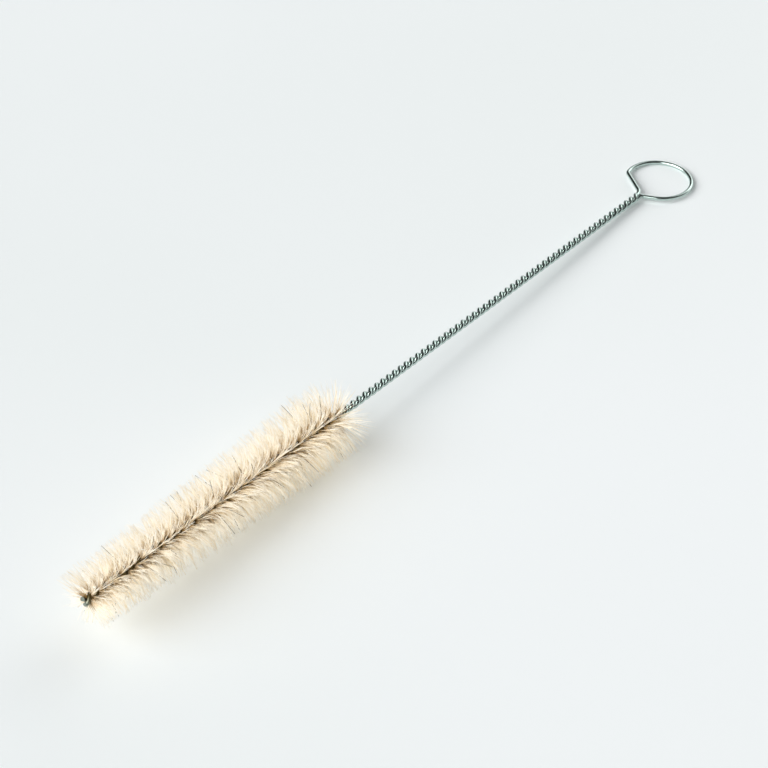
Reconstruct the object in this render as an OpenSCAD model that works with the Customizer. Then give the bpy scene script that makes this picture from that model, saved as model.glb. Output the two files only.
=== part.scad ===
// Small twisted-wire tube brush, lying as it comes to rest on a flat surface.
// One steel wire is folded into a finger ring, its two halves are twisted together
// into the stem, and a tapered head of natural bristle is gripped between them.
// The brush is laid out along local X, from the cut tip of the wire to the ring, with
// the ring in the local XY plane. settle() then tilts it about Y, so that the ring's
// far end and the wide end of the head stand on z = 0.

/* [Wire] */
// Diameter of the wire
wire_d = 1.2; // [0.9:0.05:1.3]
// Length of brush taken by one full turn of the twist
twist_pitch = 5; // [4.5:0.1:7]
// Clearance between the two strands of the bare stem
stem_gap = 0.1; // [0.1:0.01:0.2]
// Gap between the two strands where they grip the bristles
grip_gap = 0.4; // [0.36:0.01:0.6]

/* [Stem] */
// Bare twisted stem, from the head to the apex of the ring
stem_l = 137.25; // [60:0.25:200]
// Bare twisted end beyond the bristles at the tip
nose_l = 1.5; // [0.5:0.1:4]
// Stretch beyond the head over which the strands close up
close_up_l = 4; // [1:0.5:10]

/* [Ring] */
// Outer diameter of the finger ring
ring_d = 20.3; // [14:0.1:26]
// Distance from the apex to the near side of the ring's full circle
ring_offset = 1.25; // [0.8:0.05:3]
// How far past the apex the left leg leaves the axis
left_leg_start = 1.5; // [0.5:0.1:3]
// Angle between the left leg and the axis
left_leg_angle = 54.5; // [46:0.5:62]
// Bend radius of the corner between the left leg and the ring
left_corner_r = 2; // [1:0.1:4]
// Length over which a strand bends out of the twist into its leg
leg_bend_l = 2; // [1.5:0.1:3]

/* [Bristle head] */
// Length of the bristled part, measured at the wire
head_l = 94.6; // [40:0.1:140]
// Diameter over the bristles at the tip
head_tip_d = 15.8; // [10:0.1:24]
// Diameter over the bristles at the stem
head_stem_d = 21.4; // [12:0.1:30]
// Radius at which the packed hair parts into tufts
tuft_root_r = 3.4; // [2.6:0.1:4.5]
// Open gap between neighbouring rows where the tufts part
row_gap = 0.7; // [0.4:0.05:1.5]
// Free space between the packed hair and each strand at the grip
hair_clearance = 0.1; // [0.08:0.01:0.15]
// Tufts on each side of the wire for one turn of the twist
tufts_per_turn = 12.5; // [8:0.5:16]
// Forward lean of every tuft towards the tip, as a share of its length
tuft_lean = 0.18; // [0:0.01:0.4]
// Further forward lean of the first tufts, over the tip
nose_lean = 2; // [0:0.1:5]
// Backward lean of the last tufts, over the stem
stem_lean = 1; // [0:0.1:4]
// Length at each end of the head over which the tufts lean further
lean_l = 5; // [4:0.5:20]
// Difference in length between the longest and the shortest tufts
tuft_ragged = 0.3; // [0:0.1:1.5]
// How far the lowest tufts are bent up by the surface they lie on
tuft_press = 1.5; // [0.8:0.1:2]

/* [Hidden] */

wire_color = [0.66, 0.70, 0.69];
hair_color = [0.90, 0.86, 0.77];

// Facets: sides of the wire, and stations for one turn of the twist
wire_sides = 6;
stem_stations = 7;
grip_stations = 6;
ring_step = 10;
corner_stations = 4;
bend_stations = 4;

wire_r = wire_d / 2;
grip_r = (wire_d + grip_gap) / 2;
stem_r = (wire_d + stem_gap) / 2;
ring_r = (ring_d - wire_d) / 2;

// Landmarks along the axis, from the cut tip
head_x = nose_l;
head_end_x = head_x + head_l;
apex_x = head_end_x + stem_l;
ring_reach = ring_r + ring_offset;
ring_x = apex_x + ring_reach;
ring_end_x = ring_x + ring_r;

// Slope of the axis that stands the ring's end and the head's wide end on z = 0
head_stand_h = head_stem_d / 2 - tuft_press;
slope = asin((head_stand_h - wire_r) / (ring_end_x - head_end_x));
lift = wire_r + ring_end_x * sin(slope);

function smooth(t) = let (u = min(max(t, 0), 1)) u * u * (3 - 2 * u);
function unit(v) = v / norm(v);
function blend(a, b, t) = a + (b - a) * t;

// Local point to the settled frame, before it is centred
function settle(p) = [
    p[0] * cos(slope) + p[2] * sin(slope),
    p[1],
    p[2] * cos(slope) - p[0] * sin(slope) + lift
];

// Twist: a left-handed double helix whose strands lie in the ring's plane at the apex
function twist_angle(x) = 360 * (apex_x - x) / twist_pitch;
function strand_r(x) = blend(grip_r, stem_r, smooth((x - head_end_x) / close_up_l));
function around(x, r, angle) = [x, r * cos(angle), r * sin(angle)];
function strand_point(x, turn) = around(x, strand_r(x), twist_angle(x) + turn);
function strand_tangent(x, turn) =
    let (lead = 2 * PI * strand_r(x) / twist_pitch, angle = twist_angle(x) + turn)
    unit([1, lead * sin(angle), -lead * cos(angle)]);

grip_count = ceil(head_end_x / twist_pitch * grip_stations);
stem_count = ceil(stem_l / twist_pitch * stem_stations);
strand_xs = [
    for (i = [0 : grip_count - 1]) head_end_x * i / grip_count,
    for (i = [0 : stem_count]) head_end_x + stem_l * i / stem_count
];

// A station of the wire is [centre, tangent, outward]. Outward points away from the
// axis along the twist, and away from the ring's centre round the ring
function strand_station(x, turn, way) = [
    strand_point(x, turn),
    way * strand_tangent(x, turn),
    around(0, 1, twist_angle(x) + turn)
];
function flat_left(t) = [-t[1], t[0], 0];
function flat_station(p, t) = [p, t, flat_left(t)];

// The left leg runs straight to a corner that touches it and the inside of the ring
left_dir = [cos(left_leg_angle), sin(left_leg_angle), 0];
left_foot = [apex_x + left_leg_start, 0, 0];
left_in = -flat_left(left_dir);
ring_center = [ring_x, 0, 0];
center_along = (ring_center - left_foot) * left_dir;
center_aside = (ring_center - left_foot) * left_in;
corner_along = center_along
    + sqrt(pow(ring_r - left_corner_r, 2) - pow(center_aside - left_corner_r, 2));
corner_center = left_foot + left_dir * corner_along + left_in * left_corner_r;
corner_start = left_leg_angle + 90;
corner_end = atan2(corner_center[1], corner_center[0] - ring_x);

// The right leg touches the ring
right_leg_angle = asin(ring_r / ring_reach);
right_dir = [cos(right_leg_angle), -sin(right_leg_angle), 0];
right_foot = [apex_x, 0, 0];
arc_end = -(90 + right_leg_angle);
arc_count = ceil((corner_end - arc_end) / ring_step);

function clockwise(center, r, angle) =
    let (out = [cos(angle), sin(angle), 0])
    [center + out * r, [out[1], -out[0], 0], out];

// Smooth bend between two stations that are joined by no straight line
function bend_point(a, b, t) =
    let (reach = norm(b[0] - a[0]))
    a[0] * (1 + 2 * t) * pow(1 - t, 2) + b[0] * (3 - 2 * t) * t * t
    + a[1] * reach * t * pow(1 - t, 2) - b[1] * reach * t * t * (1 - t);
function bend_tangent(a, b, t) =
    let (step = 0.01)
    unit(bend_point(a, b, t + step) - bend_point(a, b, t - step));
function bend(a, b) = [
    for (i = [1 : bend_stations - 1])
        let (t = i / bend_stations)
        [bend_point(a, b, t), bend_tangent(a, b, t), unit(blend(a[2], b[2], t))]
];

left_strand_end = strand_station(apex_x, 0, 1);
left_leg = flat_station(left_foot + left_dir * leg_bend_l, left_dir);
right_leg = flat_station(right_foot + right_dir * leg_bend_l, -right_dir);
right_strand_end = strand_station(apex_x, 180, -1);

wire_stations = [
    for (x = strand_xs) strand_station(x, 0, 1),
    each bend(left_strand_end, left_leg),
    left_leg,
    for (i = [0 : corner_stations])
        clockwise(corner_center, left_corner_r,
                  blend(corner_start, corner_end, i / corner_stations)),
    for (i = [1 : arc_count])
        clockwise(ring_center, ring_r, blend(corner_end, arc_end, i / arc_count)),
    right_leg,
    each bend(right_leg, right_strand_end),
    for (i = [len(strand_xs) - 1 : -1 : 0]) strand_station(strand_xs[i], 180, -1)
];

// The section has flats towards and away from the axis
function section(station) =
    let (t = station[1],
         out = unit(station[2] - t * (station[2] * t)),
         side = cross(out, t))
    [for (k = [0 : wire_sides - 1])
        let (angle = 360 * (k + 0.5) / wire_sides)
        station[0] + (out * cos(angle) + side * sin(angle)) * wire_r];
// Both strands are cut off square to the axis at the tip
function cut_square(points, t) = [for (p = points) p - t * p[0] / t[0]];

wire_last = len(wire_stations) - 1;
wire_points = [
    for (i = [0 : wire_last])
        let (s = wire_stations[i])
        each (i == 0 || i == wire_last ? cut_square(section(s), s[1]) : section(s))
];

// Two triangles between neighbours a and b of one ring and the same two of the next,
// split along the diagonal from b back to a, or from a forward to b
function patch_back(a, b, next) = [[a, b, a + next], [b, b + next, a + next]];
function patch_forward(a, b, next) = [[a, b, b + next], [a, b + next, a + next]];
function tube_faces(rings, sides) = [
    [for (k = [sides - 1 : -1 : 0]) k],
    for (i = [0 : rings - 2], k = [0 : sides - 1])
        each patch_back(i * sides + k, i * sides + (k + 1) % sides, sides),
    [for (k = [0 : sides - 1]) (rings - 1) * sides + k]
];

// Packed hair: a two-sided screw surface that passes between the strands. A station
// has six points, three on the side of one strand and three on the side of the other
hair_half = grip_gap / 2 - hair_clearance;
row_half = (twist_pitch / 2 - row_gap) / 2;
tuft_count = floor(head_l / twist_pitch * tufts_per_turn);
tuft_pitch = head_l / tuft_count;
function hair_x(i) = head_x + tuft_pitch * i;
function hair_rim(x, side, face) =
    around(x - side * face * row_half, tuft_root_r, twist_angle(x) + 90 * side);
function hair_web(x, face) = around(x, hair_half, twist_angle(x) + (face > 0 ? 0 : 180));
function hair_station(x) = [
    hair_rim(x, 1, 1), hair_web(x, 1), hair_rim(x, -1, 1),
    hair_rim(x, -1, -1), hair_web(x, -1), hair_rim(x, 1, -1)
];

// One tuft stands on each stretch of rim between two stations
ragged = rands(0, 1, 2 * tuft_count, 7);
function head_r(x) = blend(head_tip_d, head_stem_d, (x - head_x) / head_l) / 2;
function lean(x) =
    stem_lean * smooth(1 - (head_end_x - x) / lean_l)
    - nose_lean * smooth(1 - (x - head_x) / lean_l)
    - tuft_lean * head_r(x);
function tuft_tip(i, side) =
    let (x = hair_x(i + 0.5), short = tuft_ragged * ragged[2 * i + (side > 0 ? 0 : 1)])
    around(x + lean(x), head_r(x) - short, twist_angle(x) + 90 * side);

hair_points = [for (i = [0 : tuft_count]) each hair_station(hair_x(i))];
tuft_tips = [for (i = [0 : tuft_count - 1], side = [-1, 1]) tuft_tip(i, side)];

station_size = 6;
function tuft_faces(a, b, next, tip) =
    [[a, b, tip], [b, b + next, tip], [b + next, a + next, tip], [a + next, a, tip]];
hair_end = [[0, 1, 5], [1, 4, 5], [1, 2, 4], [2, 3, 4]];
hair_faces = [
    for (f = hair_end) [f[2], f[1], f[0]],
    for (i = [0 : tuft_count - 1])
        let (s = i * station_size, tip = len(hair_points) + 2 * i)
        each concat(
            patch_forward(s, s + 1, station_size), patch_forward(s + 1, s + 2, station_size),
            tuft_faces(s + 2, s + 3, station_size, tip),
            patch_forward(s + 3, s + 4, station_size), patch_forward(s + 4, s + 5, station_size),
            tuft_faces(s + 5, s, station_size, tip + 1)),
    for (f = hair_end) [for (k = f) tuft_count * station_size + k]
];

// Tufts that would pass below the surface lie on it
function rest_on_surface(p) = [p[0], p[1], max(p[2], 0)];
settled_wire = [for (p = wire_points) settle(p)];
settled_hair = [for (p = concat(hair_points, tuft_tips)) rest_on_surface(settle(p))];

// The origin is under the middle of the whole brush
all_points = concat(settled_wire, settled_hair);
function middle(axis) =
    let (values = [for (p = all_points) p[axis]]) (min(values) + max(values)) / 2;
center = [middle(0), middle(1), 0];

module twisted_wire() {
    color(wire_color)
        polyhedron([for (p = settled_wire) p - center],
                   tube_faces(len(wire_stations), wire_sides));
}

module bristle_head() {
    color(hair_color)
        polyhedron([for (p = settled_hair) p - center], hair_faces);
}

twisted_wire();
bristle_head();
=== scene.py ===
import math

import bpy
import numpy as np
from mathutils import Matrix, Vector


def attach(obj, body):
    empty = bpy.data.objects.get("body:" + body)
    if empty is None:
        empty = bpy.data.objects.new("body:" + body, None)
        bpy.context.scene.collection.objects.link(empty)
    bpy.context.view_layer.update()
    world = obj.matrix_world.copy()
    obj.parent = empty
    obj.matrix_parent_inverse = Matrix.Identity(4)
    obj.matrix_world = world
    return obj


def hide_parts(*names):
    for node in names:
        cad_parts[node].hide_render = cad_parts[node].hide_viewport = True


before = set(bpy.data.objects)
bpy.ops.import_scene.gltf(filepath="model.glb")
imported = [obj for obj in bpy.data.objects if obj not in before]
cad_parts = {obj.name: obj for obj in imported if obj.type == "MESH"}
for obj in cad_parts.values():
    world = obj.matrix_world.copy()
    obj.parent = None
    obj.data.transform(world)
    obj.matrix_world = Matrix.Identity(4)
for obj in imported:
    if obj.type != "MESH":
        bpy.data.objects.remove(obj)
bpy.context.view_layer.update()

MM = 0.001

# Wire
WIRE_D = 1.2
TWIST_PITCH = 5.0
# Gaps between the strands, on the bare stem and where they grip the hair, both narrower
# than in part.scad, and the length over which the one turns into the other
STEM_GAP = 0.02
GRIP_GAP = 0.3
CLOSE_UP_L = 4.0
# Bare wire ahead of the hair, hair along the wire, and bare stem up to the ring
NOSE_L = 1.5
HEAD_L = 94.6
STEM_L = 137.25

# Ring: its outer diameter and how far from the end of the stem it begins. The right leg
# runs into it straight, and the left leg by a corner
RING_D = 20.3
RING_OFFSET = 1.25
LEFT_LEG_START = 1.5
LEFT_LEG_ANGLE = math.radians(54.5)
LEFT_CORNER_R = 2.0
LEG_BEND_L = 2.0

# Bristle head: its diameter at each end, and how far the floor presses up the lowest hair
HEAD_TIP_D = 15.8
HEAD_STEM_D = 21.4
HEAD_PRESS = 1.5

# How finely the wire is divided
WIRE_SIDES = 16
STATIONS_PER_TURN = 24
RING_STEP = math.radians(3)
CORNER_STATIONS = 12
BEND_STATIONS = 10
# Rings of the cut end: distance from the cut, and radius as a share of the wire's
CUT_RINGS = ((0.0, 0.8), (0.04, 0.93), (0.12, 1.0))

# Map of the wire: the number of its columns and the margin in each, as a share of its
# width. Then as shares of the map, the foot and height of the columns, and above them the
# middles of the two cut ends and their radius
WIRE_COLUMNS = 12
WIRE_MARGIN = 0.04
WIRE_MAP_FOOT = 0.01
WIRE_MAP_H = 0.94
CUT_PLACES = ((0.25, 0.975), (0.75, 0.975))
CUT_MAP_R = 0.01

# Steel: its tones and its roughness, which change slowly along it
STEEL_TONES = ((206, 224, 218), (192, 209, 203))
STEEL_ROUGH = (0.14, 0.22)
# Streaks: the noise values between which they set in, the duller colour they turn to and
# how far they do so, and the roughness they add
STREAK_RANGE = (0.35, 0.75)
STREAK_COLOR = (160, 178, 171)
STREAK_SHARE = 0.35
STREAK_ROUGH = 0.10
# Painted shade on the wire inside the bristle head, where the hair shades it: the darker colour there,
# how much rougher it is, the length over which that starts, and how much of it is left at the wire's
# own end
PAINTED_SHADE_COLOR = (98, 90, 62)
PAINTED_SHADE_ROUGH = 0.2
PAINTED_SHADE_FADE = 4.0
NOSE_PAINTED_SHADE = 0.6

# Hair: how many there are, their thickness and its share left at the tip, and by what share
# they differ in thickness, with a limit of so many times as much
HAIR_COUNT = 9000
HAIR_SEED = 11
HAIR_D = 0.13
HAIR_TIP_SHARE = 0.55
THICKNESS_SCATTER = 0.2
THICKNESS_LIMIT = 1.5
HAIR_STATIONS = 7
HAIR_SIDES = 3
# A direction that no hair takes, from which the sides of every hair are set out
SIDE_GUIDE = (0.97, 0.17, 0.17)
# Map of the hair: each hair lies in one of these columns, with a margin on each side as a
# share of the column's width, and a narrow strip for each of its ends
HAIR_COLUMNS = 64
HAIR_MARGIN = 0.15
END_MARGIN = 0.01
# How far hairs stray from their place in the twist, and how much they bend to a side
ANGLE_SCATTER = math.radians(20)
ANGLE_LIMIT = math.radians(40)
LEAN_SCATTER = 0.6
CURL_SCATTER = 0.45
BEND_POWER = 1.5
# Some hairs are short, down to this share of the full length
SHORT_SHARE = 0.3
SHORTEST = 0.6
LENGTH_SCATTER = 0.03
# Lean of the hairs along the wire, as a share of the head's radius, where minus is towards
# the tip. Over the length LEAN_L at each end of the head, the first hairs also lean over
# the nose and the last over the stem
LEAN_SHARE = -0.18
NOSE_LEAN = 2.0
STEM_LEAN = 1.0
LEAN_L = 5.0
# The last hairs also spread over the stem: how far, and over what length of the head
END_SPREAD = 4.0
END_SPREAD_L = 5.0
# Clumps: how far the tips of their hairs are drawn together, and how much whole clumps
# bend to a side and differ in length
CLUMP_COUNT = 2000
CLUMP_PULL = (0.3, 0.9)
CLUMP_SWEEP = 0.45
CLUMP_LENGTH = 0.04
# The hair is parted along the side that looks up and to the front: direction of the
# parting round the wire, how far it opens, and how far off hair is pushed aside
PARTING = math.radians(134)
PARTING_OPEN = math.radians(5)
PARTING_REACH = math.radians(30)
# Lowest and highest place of the tips of the hairs that the floor presses flat
FLAT_LAYER = (0.06, 0.5)

# Share of the light on a hair that comes out on its far side
THROUGH_SHARE = 0.5
# Share of the light that each surface of a hair lets on to what lies in its shadow
LET_THROUGH = (0.928, 0.914, 0.888, 1.0)
# Share of the hairs whose tips are darker than the rest
DARKER_SHARE = 0.4
# The colour of the root turns into that of the tip between these shares of the length. A
# ripple shifts them by up to RIPPLE_SHIFT, and moves on by a step from column to column
ROOT_END = (0.0, 0.62)
RIPPLE_SHIFT = 0.15
RIPPLE_STEP = 3.7

# Stray dark hairs: their length as a share of the head's radius, and how many times as
# much as the pale hairs they stray and bend
STRAY_COUNT = 70
STRAY_SEED = 5
STRAY_D = 0.18
STRAY_LENGTHS = (0.9, 1.08)
STRAY_SCATTER = 2

# Most of what a noise texture gives lies between these values
NOISE_RANGE = (0.3, 0.7)

WIRE_R = WIRE_D / 2
RING_R = (RING_D - WIRE_D) / 2
GRIP_R = (WIRE_D + GRIP_GAP) / 2
STEM_R = (WIRE_D + STEM_GAP) / 2
HEAD_X = NOSE_L
HEAD_END_X = HEAD_X + HEAD_L
APEX_X = HEAD_END_X + STEM_L
RING_REACH = RING_R + RING_OFFSET
RING_X = APEX_X + RING_REACH
RING_END_X = RING_X + RING_R

SLOPE = math.asin((HEAD_STEM_D / 2 - HEAD_PRESS - WIRE_R) / (RING_END_X - HEAD_END_X))
LIFT = WIRE_R + RING_END_X * math.sin(SLOPE)
# Middle of the settled brush, from the cut tip of its wire
CENTER_X = 126.048


def unit(v):
    return v / np.linalg.norm(v, axis=-1, keepdims=True)


def dot(a, b):
    return np.sum(a * b, axis=-1, keepdims=True)


def smooth(t):
    u = np.clip(t, 0, 1)
    return u * u * (3 - 2 * u)


def blend(a, b, t):
    return a + (b - a) * t


def settle(p):
    x, y, z = p[..., 0], p[..., 1], p[..., 2]
    along = x * math.cos(SLOPE) + z * math.sin(SLOPE) - CENTER_X
    up = z * math.cos(SLOPE) - x * math.sin(SLOPE) + LIFT
    return np.stack([along, y, up], axis=-1)


def twist_angle(x):
    return 2 * math.pi * (APEX_X - x) / TWIST_PITCH


def around(x, r, angle):
    x, r, angle = np.broadcast_arrays(x, r, angle)
    return np.stack([x, r * np.cos(angle), r * np.sin(angle)], axis=-1)


def half_turn_range(angle):
    """The same direction as an angle from minus half a turn to half a turn."""
    return (angle + math.pi) % (2 * math.pi) - math.pi


# Meshes

def new_object(name, points, face_sets):
    """A mesh object from an array of points in mm and a list of arrays of faces."""
    mesh = bpy.data.meshes.new(name)
    points = np.ascontiguousarray(points.reshape(-1, 3) * MM, dtype=np.float32)
    corners = np.concatenate([f.ravel() for f in face_sets]).astype(np.int32)
    sizes = np.concatenate([np.full(len(f), f.shape[1]) for f in face_sets])
    starts = np.concatenate([[0], np.cumsum(sizes)[:-1]]).astype(np.int32)
    mesh.vertices.add(len(points))
    mesh.vertices.foreach_set("co", points.ravel())
    mesh.loops.add(len(corners))
    mesh.loops.foreach_set("vertex_index", corners)
    mesh.polygons.add(len(sizes))
    mesh.polygons.foreach_set("loop_start", starts)
    mesh.polygons.foreach_set("use_smooth", np.ones(len(sizes), dtype=bool))
    mesh.update(calc_edges=True)
    mesh.validate()
    obj = bpy.data.objects.new(name, mesh)
    bpy.context.collection.objects.link(obj)
    return obj


def set_uv(obj, name, uv_sets):
    layer = obj.data.uv_layers.new(name=name)
    uv = np.concatenate([u.reshape(-1, 2) for u in uv_sets])
    layer.data.foreach_set("uv", uv.astype(np.float32).ravel())


def dress(obj, material, slot, *nodes):
    obj.data.materials.append(material)
    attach(obj, "root")
    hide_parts(*nodes)


# Materials

def put(tree, socket, value):
    if isinstance(value, bpy.types.NodeSocket):
        tree.links.new(value, socket)
    else:
        socket.default_value = value


def add(tree, kind, inputs=None, **settings):
    node = tree.nodes.new("ShaderNode" + kind)
    for key, value in settings.items():
        setattr(node, key, value)
    for key, value in (inputs or {}).items():
        put(tree, node.inputs[key], value)
    return node


def calc(tree, operation, a, b=0.0):
    return add(tree, "Math", {0: a, 1: b}, operation=operation).outputs[0]


def mix_color(tree, factor, a, b):
    return add(tree, "Mix", {0: factor, 6: a, 7: b}, data_type="RGBA").outputs[2]


def spread(tree, value, low, high, to_low, to_high):
    inputs = {"Value": value, "From Min": low, "From Max": high, "To Min": to_low, "To Max": to_high}
    return add(tree, "MapRange", inputs, interpolation_type="SMOOTHSTEP").outputs["Result"]


def display(r, g, b):
    """Display values from 0 to 255 as a linear colour."""
    shades = [c / 255 for c in (r, g, b)]
    linear = [s / 12.92 if s <= 0.04045 else ((s + 0.055) / 1.055) ** 2.4 for s in shades]
    return (*linear, 1.0)


def new_material(name):
    material = bpy.data.materials.new(name)
    material.use_nodes = True
    tree = material.node_tree
    return material, tree, tree.nodes["Principled BSDF"]


def wire_material():
    """Bright drawn steel: faint streaks along the wire, slow changes of tone, and painted shade inside
    the bristle head.
    """
    material, tree, shader = new_material("bright_wire")
    place = add(tree, "Attribute", attribute_name="wire_place").outputs["Vector"]
    streak_place = add(tree, "Mapping", {"Vector": place, "Scale": (0.12, 5.0, 5.0)})
    streaks = add(tree, "TexNoise", {"Vector": streak_place.outputs[0], "Scale": 2.0, "Detail": 4.0})
    slow_place = add(tree, "Mapping", {"Vector": place, "Scale": (0.3, 0.6, 0.6)})
    slow = add(tree, "TexNoise", {"Vector": slow_place.outputs[0], "Scale": 1.0, "Detail": 3.0})
    light, dark = (display(*tone) for tone in STEEL_TONES)
    tone = mix_color(tree, slow.outputs["Fac"], light, dark)
    dull = spread(tree, streaks.outputs["Fac"], *STREAK_RANGE, 0.0, STREAK_SHARE)
    clean = mix_color(tree, dull, tone, display(*STREAK_COLOR))
    # Painted shade: the wire is darker and rougher inside the bristle head, where the hair shades it
    painted_shade = add(tree, "Attribute", attribute_name="wire_painted_shade").outputs["Fac"]
    color = mix_color(tree, painted_shade, clean, display(*PAINTED_SHADE_COLOR))
    rough_slow = spread(tree, slow.outputs["Fac"], *NOISE_RANGE, *STEEL_ROUGH)
    streak_rough = calc(tree, "MULTIPLY", streaks.outputs["Fac"], STREAK_ROUGH)
    rough_clean = calc(tree, "ADD", rough_slow, streak_rough)
    rough = calc(tree, "ADD", rough_clean, calc(tree, "MULTIPLY", painted_shade, PAINTED_SHADE_ROUGH))
    bump = add(tree, "Bump", {"Strength": 0.25, "Distance": 0.00002, "Height": streaks.outputs["Fac"]})
    put(tree, shader.inputs["Base Color"], color)
    put(tree, shader.inputs["Roughness"], rough)
    put(tree, shader.inputs["Normal"], bump.outputs[0])
    shader.inputs["Metallic"].default_value = 1.0
    return material


def hair_material(name, roots, tips, rough_range, gloss):
    """Natural hair: each column of the map is one tone, darker at the root than at the tip; for the
    pale hair the darker root is partly its own tone and partly painted shade near the wire.
    """
    material, tree, shader = new_material(name)
    uv = add(tree, "UVMap", uv_map="OFBake").outputs[0]
    split = add(tree, "SeparateXYZ", {0: uv}).outputs
    column = calc(tree, "FLOOR", calc(tree, "MULTIPLY", split[0], float(HAIR_COLUMNS)))
    tone = add(tree, "TexWhiteNoise", {"W": column}, noise_dimensions="1D").outputs["Value"]
    root = mix_color(tree, tone, display(*roots[0]), display(*roots[1]))
    bright = spread(tree, tone, 0.0, DARKER_SHARE, 0.0, 1.0)
    tip = mix_color(tree, bright, display(*tips[0]), display(*tips[1]))
    ripple_start = calc(tree, "MULTIPLY", column, RIPPLE_STEP)
    ripple_place = add(tree, "CombineXYZ", {0: ripple_start, 1: split[1]})
    ripple = add(tree, "TexNoise", {"Vector": ripple_place.outputs[0], "Scale": 9.0, "Detail": 3.0})
    shift = spread(tree, ripple.outputs["Fac"], *NOISE_RANGE, -RIPPLE_SHIFT, RIPPLE_SHIFT)
    reach = calc(tree, "ADD", split[1], shift)
    along = spread(tree, reach, *ROOT_END, 0.0, 1.0)
    color = mix_color(tree, along, root, tip)
    put(tree, shader.inputs["Base Color"], color)
    rough = spread(tree, ripple.outputs["Fac"], *NOISE_RANGE, *rough_range)
    put(tree, shader.inputs["Roughness"], rough)
    bump = add(tree, "Bump", {"Strength": 0.3, "Distance": 0.00001, "Height": ripple.outputs["Fac"]})
    put(tree, shader.inputs["Normal"], bump.outputs[0])
    shader.inputs["Specular IOR Level"].default_value = gloss
    through = add(tree, "BsdfTranslucent", {"Color": color})
    both = add(tree, "MixShader", {0: THROUGH_SHARE, 1: shader.outputs[0], 2: through.outputs[0]})
    clear = add(tree, "BsdfTransparent", {"Color": LET_THROUGH})
    shadow_ray = add(tree, "LightPath").outputs["Is Shadow Ray"]
    body = add(tree, "MixShader", {0: shadow_ray, 1: both.outputs[0], 2: clear.outputs[0]})
    put(tree, tree.nodes["Material Output"].inputs["Surface"], body.outputs[0])
    return material


# Wire

def strand_stations(xs, turn, way):
    r = blend(GRIP_R, STEM_R, smooth((xs - HEAD_END_X) / CLOSE_UP_L))
    angle = twist_angle(xs) + turn
    lead = 2 * math.pi * r / TWIST_PITCH
    tangent = np.stack([np.ones_like(xs), lead * np.sin(angle), -lead * np.cos(angle)], axis=-1)
    return around(xs, r, angle), way * unit(tangent), around(0 * xs, 1, angle)


def flat_left(t):
    return np.stack([-t[..., 1], t[..., 0], 0 * t[..., 0]], axis=-1)


def straight_stations(foot, toward, way):
    centre = np.array([foot + toward * LEG_BEND_L])
    tangent = np.array([way * toward])
    return centre, tangent, flat_left(tangent)


def arc_stations(centre, r, start, end, count):
    angles = np.linspace(start, end, count + 1)
    out = np.stack([np.cos(angles), np.sin(angles), 0 * angles], axis=-1)
    return centre + out * r, -flat_left(out), out


def bend_stations(a, b):
    """Smooth bend from the last station of a to the first of b, without its ends."""
    t = (np.arange(1, BEND_STATIONS) / BEND_STATIONS)[:, None]
    p, tp, op = (part[-1] for part in a)
    q, tq, oq = (part[0] for part in b)
    reach = np.linalg.norm(q - p)

    def place(u):
        near = p * (1 + 2 * u) * (1 - u) ** 2 + q * (3 - 2 * u) * u * u
        return near + tp * reach * u * (1 - u) ** 2 - tq * reach * u * u * (1 - u)

    step = 0.01
    return place(t), unit(place(t + step) - place(t - step)), unit(blend(op, oq, t))


def wire_path():
    count = math.ceil(APEX_X / TWIST_PITCH * STATIONS_PER_TURN)
    xs = np.linspace(CUT_RINGS[-1][0], APEX_X, count + 1)
    out_strand = strand_stations(xs, 0, 1)
    back_strand = strand_stations(xs[::-1], math.pi, -1)

    left_dir = np.array([math.cos(LEFT_LEG_ANGLE), math.sin(LEFT_LEG_ANGLE), 0])
    left_foot = np.array([APEX_X + LEFT_LEG_START, 0, 0])
    left_in = -flat_left(left_dir)
    ring_centre = np.array([RING_X, 0, 0])
    aside = (ring_centre - left_foot) @ left_in
    reach = math.sqrt((RING_R - LEFT_CORNER_R) ** 2 - (aside - LEFT_CORNER_R) ** 2)
    along = (ring_centre - left_foot) @ left_dir + reach
    corner_centre = left_foot + left_dir * along + left_in * LEFT_CORNER_R
    corner_start = LEFT_LEG_ANGLE + math.pi / 2
    corner_end = math.atan2(corner_centre[1], corner_centre[0] - RING_X)
    right_angle = math.asin(RING_R / RING_REACH)
    right_dir = np.array([math.cos(right_angle), -math.sin(right_angle), 0])
    arc_end = -(math.pi / 2 + right_angle)
    arc_count = math.ceil((corner_end - arc_end) / RING_STEP)

    left_leg = straight_stations(left_foot, left_dir, 1)
    corner = arc_stations(corner_centre, LEFT_CORNER_R, corner_start, corner_end, CORNER_STATIONS)
    arc = arc_stations(ring_centre, RING_R, corner_end, arc_end, arc_count)
    right_leg = straight_stations(np.array([APEX_X, 0, 0]), right_dir, -1)
    parts = [
        out_strand,
        bend_stations(out_strand, left_leg),
        left_leg,
        corner,
        tuple(part[1:] for part in arc),
        right_leg,
        bend_stations(right_leg, back_strand),
        back_strand,
    ]
    return [np.concatenate(group) for group in zip(*parts)]


def cut_rings(ring, tangent):
    """The rings of the square cut, from the cut face in, for the ring next to it."""
    centre = ring.mean(axis=0)
    rings = []
    for depth, share in CUT_RINGS:
        points = centre + (ring - centre) * share
        shift = (points[:, :1] - depth) / tangent[0]
        rings.append(points - tangent * shift)
    return np.array(rings)


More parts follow.
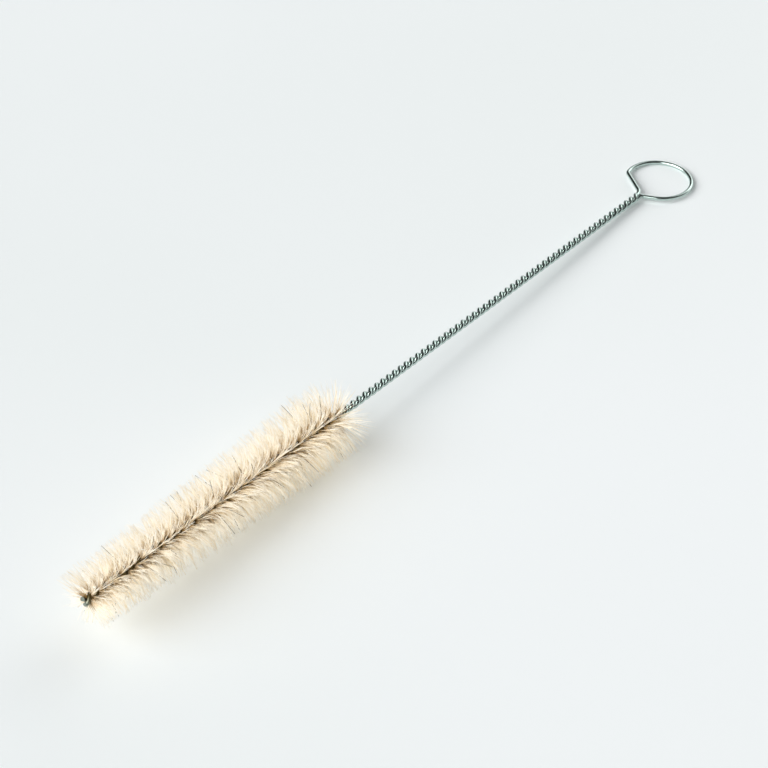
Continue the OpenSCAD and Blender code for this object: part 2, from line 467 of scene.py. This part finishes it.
def make_wire():
    centre, tangent, out = wire_path()
    out = unit(out - tangent * dot(out, tangent))
    side = np.cross(out, tangent)
    angles = 2 * math.pi * np.arange(WIRE_SIDES) / WIRE_SIDES
    spokes = out[:, None] * np.cos(angles)[:, None] + side[:, None] * np.sin(angles)[:, None]
    rings = centre[:, None] + spokes * WIRE_R
    start = cut_rings(rings[0], tangent[0])
    end = cut_rings(rings[-1], tangent[-1])[::-1]
    rings = np.concatenate([start, rings[1:-1], end])
    count = len(rings)

    i, k = np.meshgrid(np.arange(count - 1), np.arange(WIRE_SIDES), indexing="ij")
    k_next = (k + 1) % WIRE_SIDES
    a, b = i * WIRE_SIDES + k, i * WIRE_SIDES + k_next
    quads = np.stack([a, a + WIRE_SIDES, b + WIRE_SIDES, b], axis=-1).reshape(-1, 4)
    first_cap = np.arange(WIRE_SIDES)[None, :]
    last_cap = ((count - 1) * WIRE_SIDES + np.arange(WIRE_SIDES))[None, ::-1]
    wire = new_object("twisted_wire_bright", settle(rings), [quads, first_cap, last_cap])

    # The map lays the wire out in even columns, so that its texture has the same scale
    rows = math.ceil(count / WIRE_COLUMNS)
    col, row = i // rows, i % rows

    def at(k_index, row_index):
        across = blend(WIRE_MARGIN, 1 - WIRE_MARGIN, k_index / WIRE_SIDES)
        u = (col + across) / WIRE_COLUMNS
        v = WIRE_MAP_FOOT + WIRE_MAP_H * row_index / rows
        return np.stack([u, v], axis=-1)

    quad_uv = np.stack([at(k, row), at(k, row + 1), at(k + 1, row + 1), at(k + 1, row)], axis=2)
    turn = np.stack([np.cos(angles), np.sin(angles)], axis=-1)
    cap_uv = [np.array(middle) + CUT_MAP_R * turn for middle in CUT_PLACES]
    set_uv(wire, "OFBake", [quad_uv, cap_uv[0], cap_uv[1][::-1]])

    # Distance along the wire and place round it, for the streaks
    middle = rings.mean(axis=1)
    steps = np.linalg.norm(np.diff(middle, axis=0), axis=1)
    gone = np.concatenate([[0], np.cumsum(steps)])
    place = np.empty((count, WIRE_SIDES, 3))
    place[..., 0] = gone[:, None]
    place[..., 1:] = turn
    attribute = wire.data.attributes.new("wire_place", "FLOAT_VECTOR", "POINT")
    attribute.data.foreach_set("vector", place.astype(np.float32).ravel())
    # Inside the bristle head the wire gets painted shade and is rougher
    painted_shade = np.clip((HEAD_END_X - middle[:, 0]) / PAINTED_SHADE_FADE, 0, 1)
    nose = np.clip((HEAD_X - middle[:, 0]) / NOSE_L, 0, 1)
    painted_shade *= blend(1, NOSE_PAINTED_SHADE, nose)
    attribute = wire.data.attributes.new("wire_painted_shade", "FLOAT", "POINT")
    attribute.data.foreach_set("value", np.repeat(painted_shade, WIRE_SIDES).astype(np.float32))
    dress(wire, wire_material(), "wire", "twisted_wire")


# Hair

def head_r(x):
    return blend(HEAD_TIP_D, HEAD_STEM_D, (x - HEAD_X) / HEAD_L) / 2


def head_lean(x):
    over_stem = STEM_LEAN * smooth(1 - (HEAD_END_X - x) / LEAN_L)
    return LEAN_SHARE * head_r(x) + over_stem - NOSE_LEAN * smooth(1 - (x - HEAD_X) / LEAN_L)


def hair_paths(x, angle, length, lean, curl, layer):
    """Points along each hair, from the axis out, kept above the floor."""
    t = np.linspace(0, 1, HAIR_STATIONS)[None, :]
    spoke = around(0 * x, 1, angle)[:, None]
    aside = around(0 * x, 1, angle + math.pi / 2)[:, None]
    along = x[:, None] + lean[:, None] * t
    centre = np.stack([along, 0 * along, 0 * along], axis=-1)
    out = (length[:, None] * t)[..., None]
    off = (curl[:, :1] * t**BEND_POWER)[..., None]
    paths = centre + spoke * out + aside * off
    paths[..., 0] += curl[:, 1:] * t**BEND_POWER
    paths = settle(paths)
    low = layer[:, None] * t
    paths[..., 2] = np.maximum(paths[..., 2], low)
    return paths


def hair_rings(paths, thickness):
    t = np.linspace(0, 1, HAIR_STATIONS)
    tangent = unit(np.gradient(paths, axis=1))
    first = unit(np.cross(tangent, np.array(SIDE_GUIDE)))
    second = np.cross(tangent, first)
    angles = (2 * math.pi * np.arange(HAIR_SIDES) / HAIR_SIDES)[:, None]
    spokes = first[:, :, None] * np.cos(angles) + second[:, :, None] * np.sin(angles)
    r = thickness[:, None] / 2 * blend(1, HAIR_TIP_SHARE, t)
    return paths[:, :, None] + spokes * r[:, :, None, None]


def make_hair(name, paths, thickness, column, material):
    rings = hair_rings(paths, thickness)
    count = len(rings)
    per_hair = HAIR_STATIONS * HAIR_SIDES
    ranges = (np.arange(count), np.arange(HAIR_STATIONS - 1), np.arange(HAIR_SIDES))
    h, i, k = np.meshgrid(*ranges, indexing="ij")
    a = h * per_hair + i * HAIR_SIDES + k
    b = h * per_hair + i * HAIR_SIDES + (k + 1) % HAIR_SIDES
    quads = np.stack([a, b, b + HAIR_SIDES, a + HAIR_SIDES], axis=-1).reshape(-1, 4)
    starts = (np.arange(count) * per_hair)[:, None]
    root_caps = starts + np.arange(HAIR_SIDES)[None, ::-1]
    tip_caps = starts + per_hair - HAIR_SIDES + np.arange(HAIR_SIDES)[None, :]
    hair = new_object(name, rings, [quads, root_caps, tip_caps])

    def across(k_index):
        return blend(HAIR_MARGIN, 1 - HAIR_MARGIN, k_index / HAIR_SIDES)

    def at(k_index, i_index):
        u = (column[h] + across(k_index)) / HAIR_COLUMNS
        v = blend(END_MARGIN, 1 - END_MARGIN, i_index / (HAIR_STATIONS - 1))
        return np.stack([u, v], axis=-1)

    quad_uv = np.stack([at(k, i), at(k + 1, i), at(k + 1, i + 1), at(k, i + 1)], axis=3)
    corner = np.arange(HAIR_SIDES)
    cap = np.stack([across(corner), END_MARGIN * (corner % 2)], axis=-1)
    caps = np.repeat(cap[None], count, axis=0)
    caps[..., 0] = (caps[..., 0] + column[:, None]) / HAIR_COLUMNS
    tips = caps.copy()
    tips[..., 1] += 1 - END_MARGIN
    set_uv(hair, "OFBake", [quad_uv, caps, tips])
    dress(hair, material, "bristle", "bristle_head")


def part_hair(angle):
    """Pushes hair aside from the parting."""
    off = half_turn_range(angle - PARTING)
    near = np.clip(1 - np.abs(off) / PARTING_REACH, 0, 1)
    return angle + np.where(off < 0, -1, 1) * PARTING_OPEN * near


def clump(x, angle, length, lean, curl, rng):
    """Draws the tips of neighbouring hairs together, and gives each clump its own sweep."""
    seed_x = HEAD_X + HEAD_L * rng.random(CLUMP_COUNT)
    seed_angle = 2 * math.pi * rng.random(CLUMP_COUNT)
    sweep = rng.normal(0, CLUMP_SWEEP, (CLUMP_COUNT, 2))
    stretch = 1 + rng.normal(0, CLUMP_LENGTH, CLUMP_COUNT)
    tip_x = (x + lean)[:, None]
    apart_x = seed_x[None, :] - tip_x
    apart_angle = half_turn_range(seed_angle[None, :] - angle[:, None])
    apart_side = apart_angle * length[:, None]
    nearest = np.argmin(apart_x**2 + apart_side**2, axis=1)
    rows = np.arange(len(x))
    pull = blend(*CLUMP_PULL, rng.random(len(x)))
    curl[:, 0] += pull * apart_side[rows, nearest]
    curl[:, 1] += pull * apart_x[rows, nearest]
    curl += sweep[nearest]
    length *= stretch[nearest]


def along_head(n, rng):
    """Places of n hairs along the wire, one by chance in each of n equal steps."""
    return HEAD_X + HEAD_L * (np.arange(n) + rng.random(n)) / n


def make_head():
    rng = np.random.default_rng(HAIR_SEED)
    n = HAIR_COUNT
    x = along_head(n, rng)
    side = np.where(rng.random(n) < 0.5, 1, -1)
    scatter = np.clip(rng.normal(0, ANGLE_SCATTER, n), -ANGLE_LIMIT, ANGLE_LIMIT)
    angle = part_hair(twist_angle(x) + side * math.pi / 2 + scatter)
    short = np.where(rng.random(n) < SHORT_SHARE, blend(SHORTEST, 1, rng.random(n)), 1)
    length = head_r(x) * short * (1 + rng.normal(0, LENGTH_SCATTER, n))
    lean = head_lean(x) + rng.normal(0, LEAN_SCATTER, n)
    curl = rng.normal(0, CURL_SCATTER, (n, 2))
    clump(x, angle, length, lean, curl, rng)
    layer = blend(*FLAT_LAYER, rng.random(n))
    chance = rng.normal(0, 1, n).clip(-THICKNESS_LIMIT, THICKNESS_LIMIT)
    thickness = HAIR_D * (1 + THICKNESS_SCATTER * chance)
    column = rng.integers(0, HAIR_COLUMNS, n)
    lean += END_SPREAD * smooth(1 - (HEAD_END_X - x) / END_SPREAD_L) * rng.random(n)
    paths = hair_paths(x, angle, length, lean, curl, layer)
    pale = hair_material(
        "pale_hair",
        # Darker roots: partly the hair's own tone and partly painted shade near the wire
        roots=((138, 106, 44), (220, 188, 114)),
        tips=((239, 226, 199), (254, 252, 246)),
        rough_range=(0.4, 0.6),
        gloss=0.35)
    for name, part in (("bristle_hair_a", side > 0), ("bristle_hair_b", side < 0)):
        make_hair(name, paths[part], thickness[part], column[part], pale)


def make_strays():
    rng = np.random.default_rng(STRAY_SEED)
    n = STRAY_COUNT
    x = along_head(n, rng)
    angle = 2 * math.pi * rng.random(n)
    length = head_r(x) * blend(*STRAY_LENGTHS, rng.random(n))
    lean = head_lean(x) + rng.normal(0, STRAY_SCATTER * LEAN_SCATTER, n)
    curl = rng.normal(0, STRAY_SCATTER * CURL_SCATTER, (n, 2))
    paths = hair_paths(x, angle, length, lean, curl, np.full(n, FLAT_LAYER[1]))
    column = rng.integers(0, HAIR_COLUMNS, n)
    dark = hair_material(
        "dark_hair",
        roots=((140, 112, 72), (170, 140, 96)),
        tips=((34, 22, 12), (66, 46, 28)),
        rough_range=(0.5, 0.7),
        gloss=0.1)
    make_hair("bristle_strays", paths, np.full(n, STRAY_D), column, dark)


# Surroundings

FLOOR_SIZE = 6.0
# The floor's tones, which change slowly over it
FLOOR_COLORS = ((237, 242, 242), (242, 246, 247))
# Softboxes, as broad lamps far away: name, heading from the brush, height and width in
# degrees, strength
SOFTBOXES = (
    ("left_softbox", 140.0, 36.0, 43.0, 2.25),
    ("front_softbox", 180.0, 35.0, 50.0, 2.0),
    ("back_softbox", -6.0, 42.0, 40.0, 0.35),
)
# The room is dark, but for two places. A round patch of light stands low behind the ring:
# heading and height of its middle, the angles from there at which it starts to fade and
# ends, strength
ROOM_DARK = 0.03
RING_PATCH = (0.0, 2.0, 34.0, 42.0, 1.4)
# A pale band stands at floor level on the right: heading of its middle, the angles from
# there at which it starts to fade and ends, its height in degrees, strength
BAND = (-80.0, 40.0, 75.0, 24.0, 0.55)


def direction(heading, height):
    heading, height = math.radians(heading), math.radians(height)
    flat = math.cos(height)
    return Vector((flat * math.cos(heading), flat * math.sin(heading), math.sin(height)))


def make_floor():
    half = FLOOR_SIZE / 2
    corners = [(-half, -half, 0), (half, -half, 0), (half, half, 0), (-half, half, 0)]
    mesh = bpy.data.meshes.new("floor")
    mesh.from_pydata(corners, [], [(0, 1, 2, 3)])
    floor = bpy.data.objects.new("floor", mesh)
    bpy.context.collection.objects.link(floor)
    material, tree, shader = new_material("floor_paper")
    place = add(tree, "TexCoord").outputs["Object"]
    cloud = add(tree, "TexNoise", {"Vector": place, "Scale": 3.0, "Detail": 2.0}).outputs["Fac"]
    tone = spread(tree, cloud, *NOISE_RANGE, 0.0, 1.0)
    color = mix_color(tree, tone, *(display(*shade) for shade in FLOOR_COLORS))
    put(tree, shader.inputs["Base Color"], color)
    grain = add(tree, "TexNoise", {"Vector": place, "Scale": 900.0, "Detail": 2.0}).outputs["Fac"]
    bump = add(tree, "Bump", {"Strength": 0.1, "Distance": 0.00005, "Height": grain})
    put(tree, shader.inputs["Normal"], bump.outputs[0])
    shader.inputs["Roughness"].default_value = 0.6
    shader.inputs["Specular IOR Level"].default_value = 0.2
    mesh.materials.append(material)


def make_lights():
    for name, heading, height, width, strength in SOFTBOXES:
        lamp = bpy.data.lights.new(name, "SUN")
        lamp.angle = math.radians(width)
        lamp.energy = strength
        light = bpy.data.objects.new(name, lamp)
        light.location = direction(heading, height)
        light.rotation_euler = light.location.to_track_quat("Z", "Y").to_euler()
        bpy.context.collection.objects.link(light)


def make_room():
    world = bpy.data.worlds.new("room")
    world.use_nodes = True
    tree = world.node_tree
    view = add(tree, "TexCoord").outputs["Generated"]
    background = tree.nodes["Background"]
    background.inputs["Color"].default_value = (1.0, 1.0, 1.0, 1.0)

    def patch(vector, heading, height, inner, outer, strength):
        toward = tuple(direction(heading, height))
        facing = add(tree, "VectorMath", {0: vector, 1: toward}, operation="DOT_PRODUCT")
        low, high = (math.cos(math.radians(degrees)) for degrees in (outer, inner))
        return spread(tree, facing.outputs["Value"], low, high, 0.0, strength)

    heading, inner, outer, top, pale = BAND
    flat = add(tree, "VectorMath", {0: view, 1: (1.0, 1.0, 0.0)}, operation="MULTIPLY").outputs[0]
    compass = add(tree, "VectorMath", {0: flat}, operation="NORMALIZE").outputs[0]
    height = add(tree, "SeparateXYZ", {0: view}).outputs[2]
    fade = spread(tree, height, 0.0, math.sin(math.radians(top)), 1.0, 0.0)
    band = calc(tree, "MULTIPLY", patch(compass, heading, 0.0, inner, outer, pale), fade)
    glow = calc(tree, "MAXIMUM", band, patch(view, *RING_PATCH))
    put(tree, background.inputs["Strength"], calc(tree, "ADD", glow, ROOM_DARK))
    bpy.context.scene.world = world


# Camera: the width of its sensor and its lens in mm, its place in metres, and in degrees
# the heading along which it looks and how far it looks down
CAMERA_SENSOR = 36.0
CAMERA_LENS = 137.656
CAMERA_PLACE = (-0.475630, -0.373875, 0.509708)
CAMERA_HEADING = 38.8066
CAMERA_DOWN = 40.0952


def make_camera():
    data = bpy.data.cameras.new("camera")
    data.sensor_width = CAMERA_SENSOR
    data.lens = CAMERA_LENS
    camera = bpy.data.objects.new("camera", data)
    camera.location = CAMERA_PLACE
    pitch = math.radians(90 - CAMERA_DOWN)
    camera.rotation_euler = (pitch, 0, math.radians(CAMERA_HEADING - 90))
    bpy.context.collection.objects.link(camera)
    bpy.context.scene.camera = camera


make_camera()
make_wire()
make_head()
make_strays()
make_floor()
make_lights()
make_room()
bpy.context.scene.view_settings.view_transform = "Standard"
